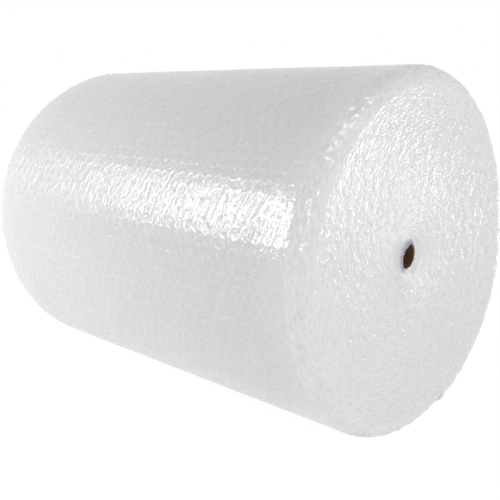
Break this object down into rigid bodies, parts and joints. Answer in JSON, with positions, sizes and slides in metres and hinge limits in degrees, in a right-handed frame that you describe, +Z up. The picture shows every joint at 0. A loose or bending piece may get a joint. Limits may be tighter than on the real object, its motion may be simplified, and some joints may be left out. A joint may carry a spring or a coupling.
{
  "type": "bubble wrap roll",
  "caption": "Full roll of clear bubble wrap wound on a cardboard tube, lying on its side on a small flat spot.",
  "frame": {"origin": "middle of the flat spot that the roll lies on, straight below the middle of its axis", "axes": "+X along the axis of the roll, towards one end; +Z up; the loose end of the web is at the back, +Y, low down"},
  "size_m": [0.75, 0.5581, 0.5484],
  "materials": {
    "film": "satin",
    "card": "matte"
  },
  "bodies": {
    "root": {"bubble_wrap_web": "film", "core_tube": "card"}
  },
  "joints": []
}
